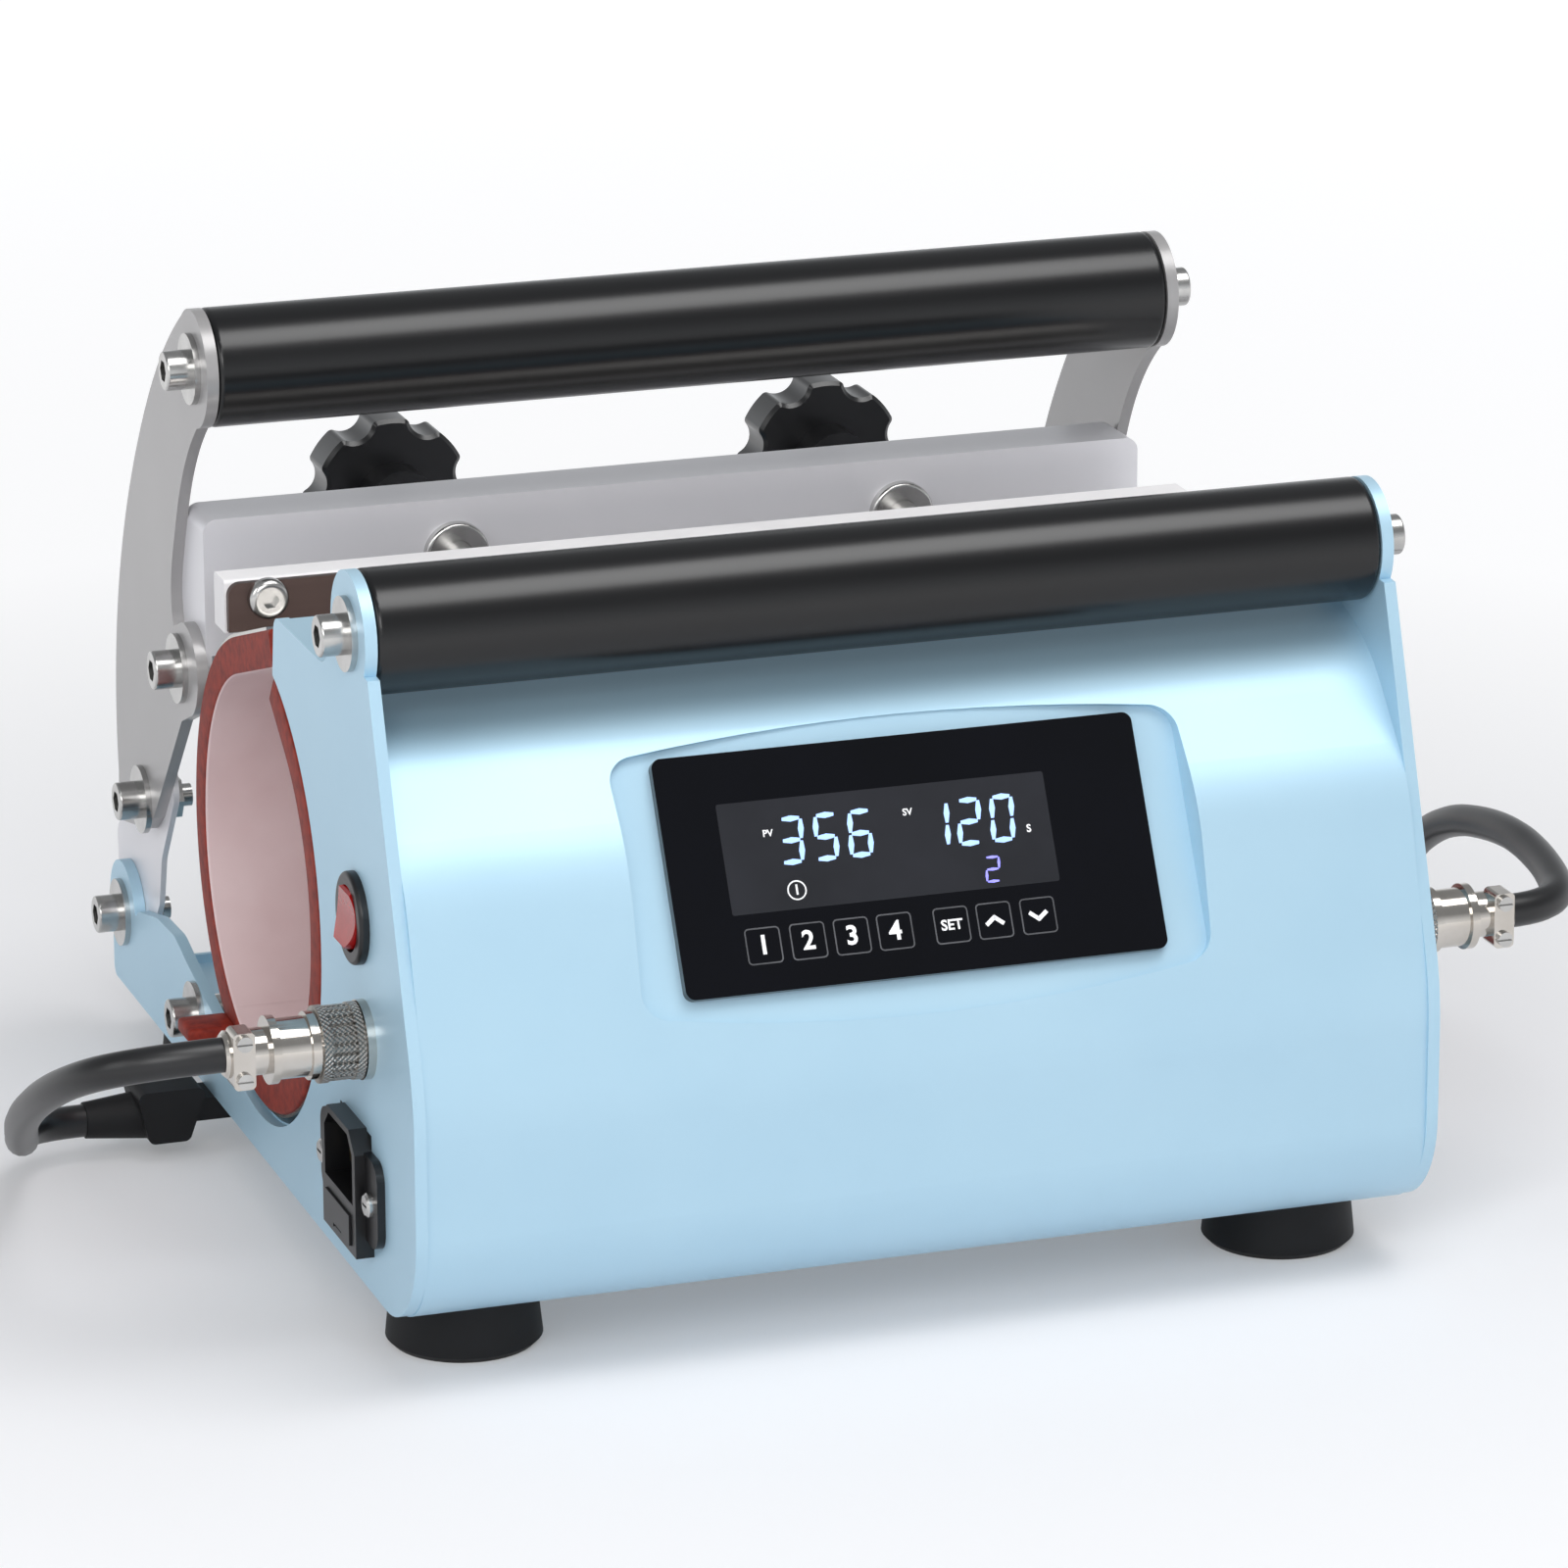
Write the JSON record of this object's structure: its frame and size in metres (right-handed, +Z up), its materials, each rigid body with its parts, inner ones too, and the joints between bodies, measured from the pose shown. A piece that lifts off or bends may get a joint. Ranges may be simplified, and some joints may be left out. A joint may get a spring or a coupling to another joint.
{
  "type": "tumbler heat press",
  "caption": "Benchtop heat press for tumblers: blue sheet housing with a display, C-shaped heater wrap, hinged clamp frame, two grip bars, star knobs and cabled ends.",
  "frame": {"origin": "on the floor, at the centre between the four feet", "axes": "+X along the press to the viewer's right, +Y to the rear, +Z up"},
  "size_m": [0.4018, 0.2974, 0.2213],
  "materials": {
    "blue_paint": "satin powder coat, pale blue",
    "grey_paint": "satin light grey paint",
    "arm_steel": "satin silver grey",
    "bright_steel": "bright zinc plate",
    "dark_steel": "dark steel strip",
    "nickel_plate": "polished nickel plate",
    "black_rubber": "matt black rubber",
    "cable_rubber": "smooth black cable sheath",
    "black_plastic": "fine grained black plastic",
    "red_plastic": "glossy red plastic",
    "white_plastic": "white heat-resistant board",
    "display_black": "glossy black panel",
    "module_grey": "grey plastic",
    "board_green": "green circuit board",
    "terminal_green": "green plastic",
    "transformer_iron": "varnished iron laminations",
    "red_silicone": "red silicone rubber",
    "silver_foil": "bright metal sheet",
    "contact_brass": "plated brass",
    "sensor_metal": "steel sensor case",
    "clear_glass": "clear glass tube"
  },
  "bodies": {
    "base": {"left_side_plate": "blue_paint", "right_side_plate": "blue_paint", "front_cover": "blue_paint", "top_shelf": "blue_paint", "cradle": "blue_paint", "base_tray": "blue_paint", "rubber_feet": "black_rubber", "foot_screws": "bright_steel", "front_handle_sleeve": "black_rubber", "front_handle_tube": "bright_steel", "front_handle_plugs": "black_plastic", "plate_screws": "bright_steel", "plate_washers": "bright_steel", "pivot_screws": "bright_steel", "pivot_nuts": "bright_steel", "tie_rod": "bright_steel", "display_glass": "display_black", "display_module": "module_grey", "control_board": "board_green", "board_standoffs": "module_grey", "power_relay": "black_plastic", "transformer": "transformer_iron", "terminal_block": "terminal_green", "heater_wrap": "red_silicone", "wrap_shell": "silver_foil", "temperature_sensor": "sensor_metal", "panel_sockets": "nickel_plate", "plug_bodies": "nickel_plate", "cable_clamps": "nickel_plate", "cable_clamp_screws": "bright_steel", "left_cable": "cable_rubber", "right_cable": "cable_rubber", "cable_boots": "cable_rubber", "switch_bezel": "black_plastic", "inlet_housing": "black_plastic", "inlet_screws": "bright_steel", "inlet_pins": "contact_brass"},
    "clamp_frame": {"clamp_bracket": "grey_paint", "adjuster_bushes": "bright_steel", "left_arm": "arm_steel", "right_arm": "arm_steel", "arm_screws": "bright_steel", "arm_washers": "bright_steel", "arm_nuts": "bright_steel", "rear_handle_sleeve": "black_rubber", "rear_handle_tube": "bright_steel", "rear_handle_plugs": "black_plastic"},
    "pressure_bar": {"insulating_bar": "white_plastic", "clamp_strip": "dark_steel", "strip_screws": "bright_steel"},
    "left_adjuster": {"left_knob": "black_plastic", "left_stud": "bright_steel"},
    "right_adjuster": {"right_knob": "black_plastic", "right_stud": "bright_steel"},
    "power_rocker": {"rocker_button": "red_plastic"},
    "fuse_carrier": {"fuse_drawer": "black_plastic", "fuse": "clear_glass"},
    "left_coupling_ring": {"left_plug_ring": "nickel_plate"},
    "right_coupling_ring": {"right_plug_ring": "nickel_plate"}
  },
  "joints": [
    {"name": "clamp_hinge", "type": "hinge", "parent": "base", "child": "clamp_frame", "pos_m": [0, 0.1304, 0.0362], "axis": [-1, 0, 0], "range_deg": [0, 25]},
    {"name": "pressure_bar_slide", "type": "slide", "parent": "clamp_frame", "child": "pressure_bar", "axis": [0, 1, 0], "range_m": [0, 0.005]},
    {"name": "left_knob_turn", "type": "hinge", "parent": "pressure_bar", "child": "left_adjuster", "pos_m": [-0.06, 0.11, 0.151], "axis": [0, 1, 0], "range_deg": [0, 1440.1]},
    {"name": "right_knob_turn", "type": "hinge", "parent": "pressure_bar", "child": "right_adjuster", "pos_m": [0.06, 0.11, 0.151], "axis": [0, 1, 0], "range_deg": [0, 1440.1]},
    {"name": "rocker_tilt", "type": "hinge", "parent": "base", "child": "power_rocker", "pos_m": [-0.128, -0.105, 0.1075], "axis": [0, -1, 0], "range_deg": [0, 14]},
    {"name": "fuse_drawer_slide", "type": "slide", "parent": "base", "child": "fuse_carrier", "axis": [-1, 0, 0], "range_m": [0, 0.018]},
    {"name": "left_ring_turn", "type": "hinge", "parent": "base", "child": "left_coupling_ring", "pos_m": [-0.1364, -0.1109, 0.0792], "axis": [-1, 0, 0], "continuous": true},
    {"name": "right_ring_turn", "type": "hinge", "parent": "base", "child": "right_coupling_ring", "pos_m": [0.1364, -0.1109, 0.0792], "axis": [1, 0, 0], "continuous": true}
  ],
  "couplings": [
    {"joint": "left_knob_turn", "follows": "pressure_bar_slide", "rad_per_m": 5026.5},
    {"joint": "right_knob_turn", "follows": "pressure_bar_slide", "rad_per_m": 5026.5}
  ]
}
